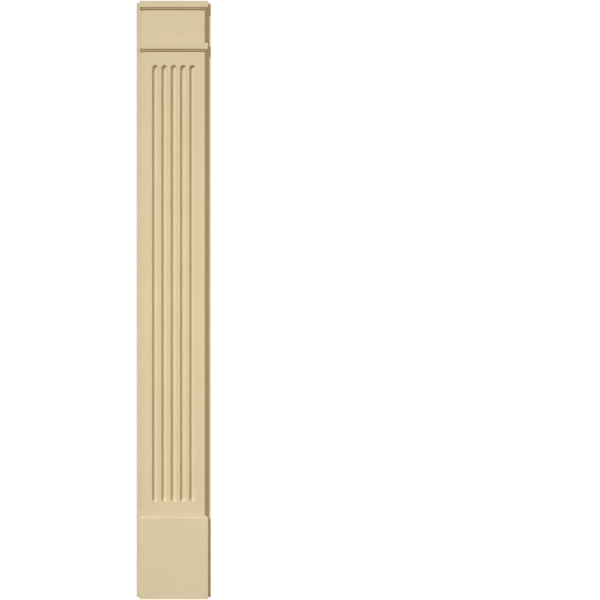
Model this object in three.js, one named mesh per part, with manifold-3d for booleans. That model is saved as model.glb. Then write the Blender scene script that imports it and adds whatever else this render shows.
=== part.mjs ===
// Fluted pilaster: a flat back board that carries a plinth block, a fluted shaft and a capital.
// Millimetres, +Z up. The front faces -Y, and the origin is the centre of the back board's rear face.
import * as THREE from 'three';
import { mergeVertices } from 'three/addons/utils/BufferGeometryUtils.js';
import Module from 'manifold-3d';

const wasm = await Module();
wasm.setup();

// Driving dimensions
const INCH = 25.4;
const HEIGHT = 96 * INCH;
const BOARD_WIDTH = 12 * INCH;
const BOARD_THICKNESS = 0.5 * INCH;
const SHAFT_WIDTH = 10 * INCH;
const SHAFT_DEPTH = 1 * INCH;
const PLINTH_HEIGHT = 13.33 * INCH;
const CAPITAL_HEIGHT = 8.03 * INCH;
const JOINT_GAP = 0.3;

// Bands of the capital: the cap at the top and the neck above the shaft
const BAND_HEIGHT = 0.93 * INCH;
const CAP_TO_NECK = 6.7 * INCH;

// Moulding under each band, from the band's face in to the shaft's face
const BAND_PROJECTION = 0.5 * INCH;
const OVOLO_DEPTH = 0.17 * INCH;
const OVOLO_DROP = 0.16 * INCH;
const QUIRK_DEPTH = 0.055 * INCH;
const FILLET_DROP = 0.085 * INCH;
const BEAD_DROP = 0.165 * INCH;
const BEAD_DEPTH = BAND_PROJECTION - OVOLO_DEPTH - QUIRK_DEPTH;
const ARC_STEPS = 6;

// Flutes
const FLUTE_COUNT = 5;
const FLUTE_WIDTH = 1 * INCH;
const FLUTE_PITCH = 1.5 * INCH;
const FLUTE_STOP = 2.18 * INCH;
const FLUTE_CAP_STEPS = 8;
const FLUTE_SIDES = 32;

const HALF_HEIGHT = HEIGHT / 2;
const SHAFT_BOTTOM = -HALF_HEIGHT + PLINTH_HEIGHT;
const SHAFT_TOP = HALF_HEIGHT - CAPITAL_HEIGHT;

const primedTan = { color: 0xdac8a3, roughness: 0.72, metalness: 0 };

// A convex quarter round that starts upright and curls in until it lies level
function quarterRound(projection, drop, depth, rise) {
  const arc = new THREE.EllipseCurve(projection - depth, drop, depth, rise, 0, Math.PI / 2);
  return arc.getPoints(ARC_STEPS);
}

// The moulding's section as (projection from the shaft, distance from the band's edge)
function mouldingSection() {
  const fillet = OVOLO_DROP + FILLET_DROP;
  const ovolo = quarterRound(BAND_PROJECTION, 0, OVOLO_DEPTH, OVOLO_DROP);
  const bead = quarterRound(BEAD_DEPTH, fillet, BEAD_DEPTH, BEAD_DROP);
  return [...ovolo, new THREE.Vector2(BEAD_DEPTH, OVOLO_DROP), ...bead];
}

const MOULDING_HEIGHT = OVOLO_DROP + FILLET_DROP + BEAD_DROP;

// The moulding hung below a band's edge, or set above it when up is true
function mouldingAt(edge, up) {
  const sign = up ? 1 : -1;
  return mouldingSection().map((point) => new THREE.Vector2(point.x, edge + sign * point.y));
}

function toSolid(geometry) {
  geometry.deleteAttribute('normal');
  geometry.deleteAttribute('uv');
  const merged = mergeVertices(geometry);
  const mesh = new wasm.Mesh({
    numProp: 3,
    vertProperties: new Float32Array(merged.attributes.position.array),
    triVerts: new Uint32Array(merged.index.array),
  });
  return new wasm.Manifold(mesh);
}

function toGeometry(solid) {
  const mesh = solid.getMesh();
  const geometry = new THREE.BufferGeometry();
  geometry.setAttribute('position', new THREE.BufferAttribute(mesh.vertProperties, 3));
  geometry.setIndex(new THREE.BufferAttribute(mesh.triVerts, 1));
  geometry.computeVertexNormals();
  return geometry;
}

// A block whose moulded front returns round both sides to the back board.
// The outline runs from top to bottom as (projection from the shaft, height).
function returnedBlock(outline) {
  const top = outline[0].y;
  const bottom = outline[outline.length - 1].y;
  const reach = 2 * BOARD_WIDTH;

  const profile = outline.map((point) => new THREE.Vector2(SHAFT_DEPTH + point.x, point.y));
  const side = new THREE.Shape([new THREE.Vector2(0, top), ...profile, new THREE.Vector2(0, bottom)]);
  const front = new THREE.ExtrudeGeometry(side, { depth: reach, bevelEnabled: false });
  front.rotateX(Math.PI / 2);
  front.rotateZ(-Math.PI / 2);
  front.translate(reach / 2, 0, 0);

  const right = outline.map((point) => new THREE.Vector2(SHAFT_WIDTH / 2 + point.x, point.y));
  const left = right.map((point) => new THREE.Vector2(-point.x, point.y)).reverse();
  const face = new THREE.Shape([...right, ...left]);
  const across = new THREE.ExtrudeGeometry(face, { depth: reach, bevelEnabled: false });
  across.rotateX(Math.PI / 2);
  across.translate(0, reach / 2, 0);

  return toGeometry(toSolid(front).intersect(toSolid(across)));
}

function piece(name, geometry) {
  const mesh = new THREE.Mesh(geometry, new THREE.MeshStandardMaterial(primedTan));
  mesh.name = name;
  return mesh;
}

// Back board
function backBoard() {
  const geometry = new THREE.BoxGeometry(BOARD_WIDTH, BOARD_THICKNESS, HEIGHT);
  geometry.translate(0, BOARD_THICKNESS / 2, 0);
  return piece('back_board', geometry);
}

// Plinth block
function plinthBlock() {
  const edge = SHAFT_BOTTOM - MOULDING_HEIGHT;
  const upward = [new THREE.Vector2(BAND_PROJECTION, -HALF_HEIGHT), ...mouldingAt(edge, true)];
  return piece('plinth_block', returnedBlock(upward.reverse()));
}

// Capital: cap band, plain frieze and neck band
function capital() {
  const neckTop = HALF_HEIGHT - CAP_TO_NECK;
  const outline = [
    new THREE.Vector2(BAND_PROJECTION, HALF_HEIGHT),
    ...mouldingAt(HALF_HEIGHT - BAND_HEIGHT, false),
    new THREE.Vector2(0, neckTop),
    new THREE.Vector2(BAND_PROJECTION, neckTop),
    ...mouldingAt(SHAFT_TOP + MOULDING_HEIGHT, false),
  ];
  return piece('capital', returnedBlock(outline));
}

// Fluted shaft
function flutedShaft() {
  const length = SHAFT_TOP - SHAFT_BOTTOM - 2 * JOINT_GAP;
  const middle = (SHAFT_TOP + SHAFT_BOTTOM) / 2;
  const block = new THREE.BoxGeometry(SHAFT_WIDTH, SHAFT_DEPTH, length);
  block.translate(0, -SHAFT_DEPTH / 2, middle);
  let shaft = toSolid(block);

  const fluteTop = SHAFT_TOP - FLUTE_STOP;
  const fluteBottom = SHAFT_BOTTOM + FLUTE_STOP;
  const straight = fluteTop - fluteBottom - FLUTE_WIDTH;
  for (let i = 0; i < FLUTE_COUNT; i += 1) {
    const flute = new THREE.CapsuleGeometry(FLUTE_WIDTH / 2, straight, FLUTE_CAP_STEPS, FLUTE_SIDES);
    flute.rotateX(Math.PI / 2);
    const across = (i - (FLUTE_COUNT - 1) / 2) * FLUTE_PITCH;
    flute.translate(across, -SHAFT_DEPTH, (fluteTop + fluteBottom) / 2);
    shaft = shaft.subtract(toSolid(flute));
  }
  return piece('fluted_shaft', toGeometry(shaft));
}

const pilaster = new THREE.Group();
pilaster.add(backBoard(), plinthBlock(), flutedShaft(), capital());
pilaster.position.y = -BOARD_THICKNESS;

export default pilaster;
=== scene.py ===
"""Fluted pilaster in primed tan on a plain pale floor. Metres, +Z up, front facing -Y."""

import math

import bmesh
import bpy
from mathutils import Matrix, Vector


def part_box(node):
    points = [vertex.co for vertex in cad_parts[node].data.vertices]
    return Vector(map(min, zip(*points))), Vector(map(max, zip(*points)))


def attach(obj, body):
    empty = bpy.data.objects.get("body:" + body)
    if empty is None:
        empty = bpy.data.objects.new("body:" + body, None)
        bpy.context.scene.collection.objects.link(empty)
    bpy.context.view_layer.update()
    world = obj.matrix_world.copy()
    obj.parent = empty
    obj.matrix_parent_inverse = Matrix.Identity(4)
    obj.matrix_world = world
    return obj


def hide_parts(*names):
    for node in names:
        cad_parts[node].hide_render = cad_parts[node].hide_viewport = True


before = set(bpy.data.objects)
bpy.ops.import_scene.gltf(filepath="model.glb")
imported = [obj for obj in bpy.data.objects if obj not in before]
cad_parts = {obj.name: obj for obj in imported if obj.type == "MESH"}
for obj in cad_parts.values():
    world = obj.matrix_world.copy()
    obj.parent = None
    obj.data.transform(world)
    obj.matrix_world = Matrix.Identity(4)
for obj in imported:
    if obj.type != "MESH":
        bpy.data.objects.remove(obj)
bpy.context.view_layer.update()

INCH = 0.0254

# Sizes shared with the solids
BOARD_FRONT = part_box("back_board")[0][1]
SHAFT_WIDTH = 10 * INCH
SHAFT_DEPTH = 1 * INCH
HALF_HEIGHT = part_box("back_board")[1][2]
SHAFT_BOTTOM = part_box("plinth_block")[1][2]
SHAFT_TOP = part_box("capital")[0][2]
BAND_HEIGHT = 0.93 * INCH
CAP_TO_NECK = 6.7 * INCH
BAND_PROJECTION = 0.5 * INCH
OVOLO_DEPTH = 0.17 * INCH
OVOLO_DROP = 0.16 * INCH
QUIRK_DEPTH = 0.055 * INCH
FILLET_DROP = 0.085 * INCH
BEAD_DROP = 0.165 * INCH
BEAD_DEPTH = BAND_PROJECTION - OVOLO_DEPTH - QUIRK_DEPTH
MOULDING_HEIGHT = OVOLO_DROP + FILLET_DROP + BEAD_DROP
FLUTE_COUNT = 5
FLUTE_RADIUS = 0.5 * INCH
FLUTE_PITCH = 1.5 * INCH
FLUTE_STOP = 2.18 * INCH

# Fine shape of the surfaces
ARRIS = 0.0005
SUPPORT = 0.0008
ARRIS_STEPS = 4
CURVE_STEPS = 14
FLUTE_STEPS = 16
BALL_STEPS = 32
MERGE = 1e-6
SHARP_ANGLE = math.radians(38)
NEARLY_STRAIGHT = math.radians(150)
BOARD_ARRIS_STEPS = 3
BOARD_SIDES = 6


# Shapes


def finish_mesh(bm, name):
    """The mesh as an object, smooth across its curves and crisp at its corners."""
    bmesh.ops.remove_doubles(bm, verts=bm.verts, dist=MERGE)
    bmesh.ops.recalc_face_normals(bm, faces=bm.faces)
    mesh = bpy.data.meshes.new(name)
    bm.to_mesh(mesh)
    bm.free()
    mesh.shade_smooth()
    mesh.set_sharp_from_angle(angle=SHARP_ANGLE)
    made = bpy.data.objects.new(name, mesh)
    bpy.context.scene.collection.objects.link(made)
    return made


def eased(points, radius):
    """The outline with every outward corner rounded, and a support point beside each rounding."""
    made = [points[0]]
    for before, corner, after in zip(points, points[1:], points[2:]):
        to_before = (before - corner).normalized()
        to_after = (after - corner).normalized()
        turn = to_after.cross(-to_before)
        opening = to_before.angle(to_after)
        if turn >= 0 or opening > NEARLY_STRAIGHT:
            made.append(corner)
            continue
        reach = radius / math.tan(opening / 2)
        start = corner + to_before * reach
        end = corner + to_after * reach
        centre = corner + (to_before + to_after).normalized() * radius / math.sin(opening / 2)
        if (before - corner).length > reach + 2 * SUPPORT:
            made.append(start + to_before * SUPPORT)
        first = start - centre
        last = end - centre
        sweep = first.angle(last)
        for step in range(ARRIS_STEPS + 1):
            share = step / ARRIS_STEPS
            blend = math.sin((1 - share) * sweep) * first + math.sin(share * sweep) * last
            made.append(centre + blend / math.sin(sweep))
        if (after - corner).length > reach + 2 * SUPPORT:
            made.append(end + to_after * SUPPORT)
    made.append(points[-1])
    return made


def quarter_round(projection, drop, depth, rise):
    """A convex quarter round that starts upright and curls in until it lies level."""
    made = []
    for step in range(CURVE_STEPS + 1):
        angle = math.pi / 2 * step / CURVE_STEPS
        across = projection - depth + depth * math.cos(angle)
        made.append(Vector((across, drop + rise * math.sin(angle))))
    return made


def moulding_at(edge, up):
    """The moulding's section, hung below a band's edge, or set above it when up is true."""
    fillet = OVOLO_DROP + FILLET_DROP
    section = quarter_round(BAND_PROJECTION, 0, OVOLO_DEPTH, OVOLO_DROP)
    section.append(Vector((BEAD_DEPTH, OVOLO_DROP)))
    section += quarter_round(BEAD_DEPTH, fillet, BEAD_DEPTH, BEAD_DROP)
    sign = 1 if up else -1
    return [Vector((point.x, edge + sign * point.y)) for point in section]


def returned_path(projection):
    """The plan line round one level of a block: left side, front and right side."""
    half = SHAFT_WIDTH / 2 + projection
    front = BOARD_FRONT - SHAFT_DEPTH - projection
    corner = []
    for step in range(ARRIS_STEPS + 1):
        angle = math.pi / 2 * step / ARRIS_STEPS
        x = half - ARRIS + ARRIS * math.cos(angle)
        y = front + ARRIS - ARRIS * math.sin(angle)
        corner.append((x, y))
    side = (half, front + ARRIS + SUPPORT)
    face = (half - ARRIS - SUPPORT, front)
    right = [(half, BOARD_FRONT), side, *corner, face]
    left = [(-x, y) for x, y in reversed(right)]
    return right + left


def returned_block(outline, name):
    """A block whose moulded front returns round both sides to the back board."""
    bm = bmesh.new()
    rings = []
    for point in outline:
        rings.append([bm.verts.new((x, y, point.y)) for x, y in returned_path(point.x)])
    for upper, lower in zip(rings, rings[1:]):
        for i in range(len(upper) - 1):
            bm.faces.new((upper[i], upper[i + 1], lower[i + 1], lower[i]))
    bm.faces.new(rings[0])
    bm.faces.new(list(reversed(rings[-1])))
    right_side = [ring[0] for ring in rings]
    left_side = [ring[-1] for ring in reversed(rings)]
    bm.faces.new(right_side + left_side)
    return finish_mesh(bm, name)


def make_plinth_block():
    edge = SHAFT_BOTTOM - MOULDING_HEIGHT
    inner = Vector((-SHAFT_DEPTH / 2, -HALF_HEIGHT))
    corner = Vector((BAND_PROJECTION, -HALF_HEIGHT))
    outline = [inner, corner, *moulding_at(edge, True)]
    outline.append(Vector((-SHAFT_DEPTH / 2, SHAFT_BOTTOM)))
    rounded = eased(list(reversed(outline)), ARRIS)
    return returned_block(rounded, "primed_plinth_block")


def make_capital():
    neck_top = HALF_HEIGHT - CAP_TO_NECK
    outline = [
        Vector((-SHAFT_DEPTH / 2, HALF_HEIGHT)),
        Vector((BAND_PROJECTION, HALF_HEIGHT)),
        *moulding_at(HALF_HEIGHT - BAND_HEIGHT, False),
        Vector((0, neck_top)),
        Vector((BAND_PROJECTION, neck_top)),
        *moulding_at(SHAFT_TOP + MOULDING_HEIGHT, False),
        Vector((-SHAFT_DEPTH / 2, SHAFT_TOP)),
    ]
    return returned_block(eased(outline, ARRIS), "primed_capital")


def make_back_board():
    low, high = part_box("back_board")
    bm = bmesh.new()
    bmesh.ops.create_cube(bm, size=1)
    middle = (Vector(low) + Vector(high)) / 2
    size = Vector(high) - Vector(low)
    bmesh.ops.scale(bm, vec=size, verts=bm.verts)
    bmesh.ops.translate(bm, vec=middle, verts=bm.verts)
    bmesh.ops.bevel(
        bm,
        geom=bm.edges[:],
        offset=ARRIS,
        segments=BOARD_ARRIS_STEPS,
        profile=0.5,
        affect="EDGES",
    )
    broad = sorted(bm.faces, key=lambda face: -face.calc_area())[:BOARD_SIDES]
    bmesh.ops.inset_individual(bm, faces=broad, thickness=SUPPORT)
    return finish_mesh(bm, "primed_back_board")


def flute_section():
    """The flute's section from its bottom out to the shaft's face as (reach, depth)."""
    centre = math.sqrt((FLUTE_RADIUS + ARRIS) ** 2 - ARRIS**2)
    start = math.atan2(ARRIS, centre)
    section = []
    for step in range(FLUTE_STEPS + 1):
        angle = math.pi / 2 + (start - math.pi / 2) * step / FLUTE_STEPS
        section.append((FLUTE_RADIUS * math.cos(angle), FLUTE_RADIUS * math.sin(angle)))
    for step in range(1, ARRIS_STEPS + 1):
        angle = math.pi + start + (math.pi / 2 - start) * step / ARRIS_STEPS
        reach = centre + ARRIS * math.cos(angle)
        section.append((reach, ARRIS + ARRIS * math.sin(angle)))
    section.append((centre + SUPPORT, 0))
    return section


def stadium(middle, low, high, reach):
    """A round-ended loop about an upright centre line, from the right of its top round the end."""
    loop = []
    for step in range(BALL_STEPS + 1):
        angle = math.pi * step / BALL_STEPS
        loop.append((middle + reach * math.cos(angle), high + reach * math.sin(angle)))
    for step in range(BALL_STEPS + 1):
        angle = math.pi + math.pi * step / BALL_STEPS
        loop.append((middle + reach * math.cos(angle), low + reach * math.sin(angle)))
    return loop


def make_fluted_shaft():
    low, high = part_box("fluted_shaft")
    bottom = low[2]
    top = high[2]
    face = low[1]
    half = high[0]
    flute_low = SHAFT_BOTTOM + FLUTE_STOP + FLUTE_RADIUS
    flute_high = SHAFT_TOP - FLUTE_STOP - FLUTE_RADIUS
    levels = [top, flute_high, flute_low, bottom]
    bm = bmesh.new()

    def point(x, y, z):
        return bm.verts.new((x, y, z))

    section = flute_section()
    middles = [(i - (FLUTE_COUNT - 1) / 2) * FLUTE_PITCH for i in range(FLUTE_COUNT)]
    for middle in middles:
        rings = []
        for reach, depth in section:
            loop = stadium(middle, flute_low, flute_high, reach)
            rings.append([point(x, face + depth, z) for x, z in loop])
        for inner, outer in zip(rings, rings[1:]):
            for i in range(len(inner)):
                j = (i + 1) % len(inner)
                bm.faces.new((inner[i], outer[i], outer[j], inner[j]))
        outer = rings[-1]
        upper_arc = outer[: BALL_STEPS + 1]
        lower_arc = outer[BALL_STEPS + 1 :]
        left = middle - FLUTE_PITCH / 2
        right = middle + FLUTE_PITCH / 2
        corners = [point(right, face, flute_high), point(right, face, top)]
        corners += [point(left, face, top), point(left, face, flute_high)]
        bm.faces.new(corners + list(reversed(upper_arc)))
        corners = [point(left, face, flute_low), point(left, face, bottom)]
        corners += [point(right, face, bottom), point(right, face, flute_low)]
        bm.faces.new(corners + list(reversed(lower_arc)))
        left_edge = [point(left, face, flute_high), point(left, face, flute_low)]
        bm.faces.new((left_edge[0], left_edge[1], lower_arc[0], upper_arc[-1]))
        right_edge = [point(right, face, flute_low), point(right, face, flute_high)]
        bm.faces.new((right_edge[0], right_edge[1], upper_arc[0], lower_arc[-1]))

    # The plain margin and the side at each edge, from the outermost flute's field to the back
    inner = FLUTE_COUNT * FLUTE_PITCH / 2
    margin = [(inner, face), (half - ARRIS - SUPPORT, face)]
    for step in range(ARRIS_STEPS + 1):
        angle = math.pi / 2 * step / ARRIS_STEPS
        x = half - ARRIS + ARRIS * math.sin(angle)
        y = face + ARRIS - ARRIS * math.cos(angle)
        margin.append((x, y))
    margin += [(half, face + ARRIS + SUPPORT), (half, BOARD_FRONT)]
    for sign in (-1, 1):
        columns = [[point(sign * x, y, z) for z in levels] for x, y in margin]
        for here, beyond in zip(columns, columns[1:]):
            for i in range(len(levels) - 1):
                bm.faces.new((here[i], here[i + 1], beyond[i + 1], beyond[i]))

    # The two ends and the back
    field = [middle - FLUTE_PITCH / 2 for middle in middles[1:]]
    edge = [(-x, y) for x, y in reversed(margin)]
    edge += [(x, face) for x in field]
    edge += margin
    for z in (top, bottom):
        bm.faces.new([point(x, y, z) for x, y in edge])
    back = [(-half, z) for z in levels] + [(half, z) for z in reversed(levels)]
    bm.faces.new([point(x, BOARD_FRONT, z) for x, z in back])
    return finish_mesh(bm, "primed_fluted_shaft")


# Materials

PRIMER_PALE = (0.7, 0.58, 0.379, 1)
PRIMER_DEEP = (0.68, 0.56, 0.361, 1)
PRIMER_IOR = 1.45
PRIMER_SPECULAR = 0.2
PAINT_SHIFT = 1.7
# Share of the noise's range that a mark is spread over
NOISE_LOW = 0.3
NOISE_HIGH = 0.7
# Each noise as scale, detail and roughness
CLOUD = (5, 4, 0.55)
SPECK = (420, 3, 0.6)
RUBBED = (26, 5, 0.6)
STIPPLE = (1100, 2, 0.5)
DRAG = (90, 3, 0.5)
SPECK_TONE = (0.985, 1.015)
RUBBED_ROUGHNESS = (0.66, 0.8)
DRAG_SHARE = 3
RELIEF_STRENGTH = 0.25
RELIEF_DEPTH = 0.00006
FLOOR_PALE = (0.86, 0.86, 0.85, 1)
FLOOR_ROUGHNESS = 0.9
FLOOR_GLOW = 0.7


def primer(name, shift):
    """Sprayed tan primer: cloudy in tone, finely stippled, a little rubbed here and there."""
    made = bpy.data.materials.new(name)
    made.use_nodes = True
    nodes = made.node_tree.nodes
    links = made.node_tree.links
    shader = nodes["Principled BSDF"]
    shader.inputs["Metallic"].default_value = 0
    shader.inputs["IOR"].default_value = PRIMER_IOR
    shader.inputs["Specular IOR Level"].default_value = PRIMER_SPECULAR

    place = nodes.new("ShaderNodeTexCoord")
    moved = nodes.new("ShaderNodeMapping")
    moved.inputs["Location"].default_value = (shift, 2 * shift, 3 * shift)
    links.new(place.outputs["Object"], moved.inputs["Vector"])

    def noise(scale, detail, rough):
        texture = nodes.new("ShaderNodeTexNoise")
        texture.inputs["Scale"].default_value = scale
        texture.inputs["Detail"].default_value = detail
        texture.inputs["Roughness"].default_value = rough
        links.new(moved.outputs["Vector"], texture.inputs["Vector"])
        return texture.outputs["Fac"]

    def spread(value, to_range):
        node = nodes.new("ShaderNodeMapRange")
        node.inputs["From Min"].default_value = NOISE_LOW
        node.inputs["From Max"].default_value = NOISE_HIGH
        node.inputs["To Min"].default_value = to_range[0]
        node.inputs["To Max"].default_value = to_range[1]
        links.new(value, node.inputs["Value"])
        return node.outputs["Result"]

    tone = nodes.new("ShaderNodeValToRGB")
    tone.color_ramp.elements[0].position = NOISE_LOW
    tone.color_ramp.elements[0].color = PRIMER_DEEP
    tone.color_ramp.elements[1].position = NOISE_HIGH
    tone.color_ramp.elements[1].color = PRIMER_PALE
    links.new(noise(*CLOUD), tone.inputs["Fac"])

    colour = nodes.new("ShaderNodeVectorMath")
    colour.operation = "SCALE"
    links.new(tone.outputs["Color"], colour.inputs[0])
    links.new(spread(noise(*SPECK), SPECK_TONE), colour.inputs["Scale"])
    links.new(colour.outputs["Vector"], shader.inputs["Base Color"])

    sheen = spread(noise(*RUBBED), RUBBED_ROUGHNESS)
    links.new(sheen, shader.inputs["Roughness"])

    relief = nodes.new("ShaderNodeMath")
    relief.operation = "MULTIPLY_ADD"
    relief.inputs[1].default_value = DRAG_SHARE
    links.new(noise(*DRAG), relief.inputs[0])
    links.new(noise(*STIPPLE), relief.inputs[2])
    bump = nodes.new("ShaderNodeBump")
    bump.inputs["Strength"].default_value = RELIEF_STRENGTH
    bump.inputs["Distance"].default_value = RELIEF_DEPTH
    links.new(relief.outputs["Value"], bump.inputs["Height"])
    links.new(bump.outputs["Normal"], shader.inputs["Normal"])
    return made


def floor_paint():
    """Pale floor bright enough to run into the white ground behind it."""
    made = bpy.data.materials.new("pale_floor")
    made.use_nodes = True
    nodes = made.node_tree.nodes
    shader = nodes["Principled BSDF"]
    shader.inputs["Base Color"].default_value = FLOOR_PALE
    shader.inputs["Roughness"].default_value = FLOOR_ROUGHNESS
    shader.inputs["Specular IOR Level"].default_value = 0
    shader.inputs["Emission Color"].default_value = (1, 1, 1, 1)
    shader.inputs["Emission Strength"].default_value = FLOOR_GLOW
    return made


# Object

builders = {
    "back_board": make_back_board,
    "plinth_block": make_plinth_block,
    "fluted_shaft": make_fluted_shaft,
    "capital": make_capital,
}
made_pieces = []
for number, (node, build) in enumerate(builders.items()):
    part = build()
    part.data.materials.append(primer("primed_" + node + "_paint", PAINT_SHIFT * number))
    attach(part, "root")
    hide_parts(node)
    made_pieces.append(part)

# Stage

FLOOR_REACH = 30
floor_mesh = bmesh.new()
bmesh.ops.create_grid(floor_mesh, x_segments=1, y_segments=1, size=FLOOR_REACH)
bmesh.ops.translate(floor_mesh, vec=(0, 0, -HALF_HEIGHT), verts=floor_mesh.verts)
floor = finish_mesh(floor_mesh, "floor")
floor.data.materials.append(floor_paint())
floor.visible_diffuse = False
floor.visible_glossy = False

# Light

TO_KEY = Vector((-0.765, -1, 0.7))
KEY_STRENGTH = 2.97
KEY_COLOUR = (0.94, 1.005, 1.13)
KEY_SPREAD = math.radians(0.7)
FILL_POWER = 11
FILL_COLOUR = (1.04, 0.88, 0.56)
FILL_SIZE = 1.2
FILL_DISTANCE = 2.2
# Light from the right by height: share of the way up, then colour
RIGHT_LIGHT = [
    (0.15, (0.5, 0.32, 0.02, 1)),
    (0.4, (0.94, 0.84, 0.62, 1)),
    (0.6, (1.25, 1.22, 1.15, 1)),
    (0.85, (0.45, 0.42, 0.48, 1)),
]
# How far to the right that light begins, and where it is full
RIGHT_START = 0.1
RIGHT_FULL = 0.72
BEHIND = (0.85, 0.83, 0.78, 1)
DEPTH_BLEND = 0.3
GROUND_WHITE = 1.05

key = bpy.data.lights.new("key", "SUN")
key.energy = KEY_STRENGTH
key.color = KEY_COLOUR
key.angle = KEY_SPREAD
key_lamp = bpy.data.objects.new("key", key)
key_lamp.rotation_mode = "QUATERNION"
key_lamp.rotation_quaternion = TO_KEY.to_track_quat("Z", "Y")
bpy.context.scene.collection.objects.link(key_lamp)
lit = bpy.data.collections.new("lit_by_key")
for part in made_pieces:
    lit.objects.link(part)
key_lamp.light_linking.receiver_collection = lit

fill = bpy.data.lights.new("fill", "AREA")
fill.shape = "DISK"
fill.size = FILL_SIZE
fill.energy = FILL_POWER
fill.color = FILL_COLOUR
fill_lamp = bpy.data.objects.new("fill", fill)
fill_lamp.location = (0, -FILL_DISTANCE, 0)
fill_lamp.rotation_euler = (math.pi / 2, 0, 0)
fill_lamp.visible_camera = False
bpy.context.scene.collection.objects.link(fill_lamp)

world = bpy.data.worlds.new("studio")
world.use_nodes = True
bpy.context.scene.world = world
sky_nodes = world.node_tree.nodes
sky_links = world.node_tree.links
direction = sky_nodes.new("ShaderNodeTexCoord")
split = sky_nodes.new("ShaderNodeSeparateXYZ")
sky_links.new(direction.outputs["Generated"], split.inputs["Vector"])


def fade(axis, start, end):
    """How far a direction lies from start to end along one axis, from 0 to 1."""
    made = sky_nodes.new("ShaderNodeMapRange")
    made.interpolation_type = "SMOOTHSTEP"
    made.inputs["From Min"].default_value = start
    made.inputs["From Max"].default_value = end
    sky_links.new(split.outputs[axis], made.inputs["Value"])
    return made.outputs["Result"]


height = sky_nodes.new("ShaderNodeMapRange")
height.inputs["From Min"].default_value = -1
height.inputs["From Max"].default_value = 1
sky_links.new(split.outputs["Z"], height.inputs["Value"])
side_light = sky_nodes.new("ShaderNodeValToRGB")
stops = side_light.color_ramp.elements
stops[0].position, stops[0].color = RIGHT_LIGHT[0]
stops[1].position, stops[1].color = RIGHT_LIGHT[-1]
for position, colour in RIGHT_LIGHT[1:-1]:
    stops.new(position).color = colour
sky_links.new(height.outputs["Result"], side_light.inputs["Fac"])
from_right = sky_nodes.new("ShaderNodeVectorMath")
from_right.operation = "SCALE"
sky_links.new(side_light.outputs["Color"], from_right.inputs[0])
sky_links.new(fade("X", RIGHT_START, RIGHT_FULL), from_right.inputs["Scale"])
around = sky_nodes.new("ShaderNodeMix")
around.data_type = "RGBA"
mixed = [socket for socket in around.inputs if socket.type == "RGBA"]
sky_links.new(fade("Y", 0, DEPTH_BLEND), around.inputs["Factor"])
sky_links.new(from_right.outputs["Vector"], mixed[0])
mixed[1].default_value = BEHIND
surround = next(socket for socket in around.outputs if socket.type == "RGBA")
ambient = sky_nodes["Background"]
sky_links.new(surround, ambient.inputs["Color"])
white = sky_nodes.new("ShaderNodeBackground")
white.inputs["Color"].default_value = (1, 1, 1, 1)
white.inputs["Strength"].default_value = GROUND_WHITE
path = sky_nodes.new("ShaderNodeLightPath")
choice = sky_nodes.new("ShaderNodeMixShader")
sky_links.new(path.outputs["Is Camera Ray"], choice.inputs["Fac"])
sky_links.new(ambient.outputs["Background"], choice.inputs[1])
sky_links.new(white.outputs["Background"], choice.inputs[2])
sky_links.new(choice.outputs["Shader"], sky_nodes["World Output"].inputs["Surface"])

bpy.context.scene.view_settings.view_transform = "Standard"
bpy.context.scene.view_settings.look = "None"

# Camera

EYE_DISTANCE = 5.436
EYE_LENS = 79.5
EYE_SENSOR = 36
EYE_SHIFT = 0.2105
camera = bpy.data.cameras.new("camera")
camera.lens = EYE_LENS
camera.sensor_width = EYE_SENSOR
camera.shift_x = EYE_SHIFT
eye = bpy.data.objects.new("camera", camera)
eye.location = (0, BOARD_FRONT - EYE_DISTANCE, 0)
eye.rotation_euler = (math.pi / 2, 0, 0)
bpy.context.scene.collection.objects.link(eye)
bpy.context.scene.camera = eye

# Final scene update

bpy.context.view_layer.update()
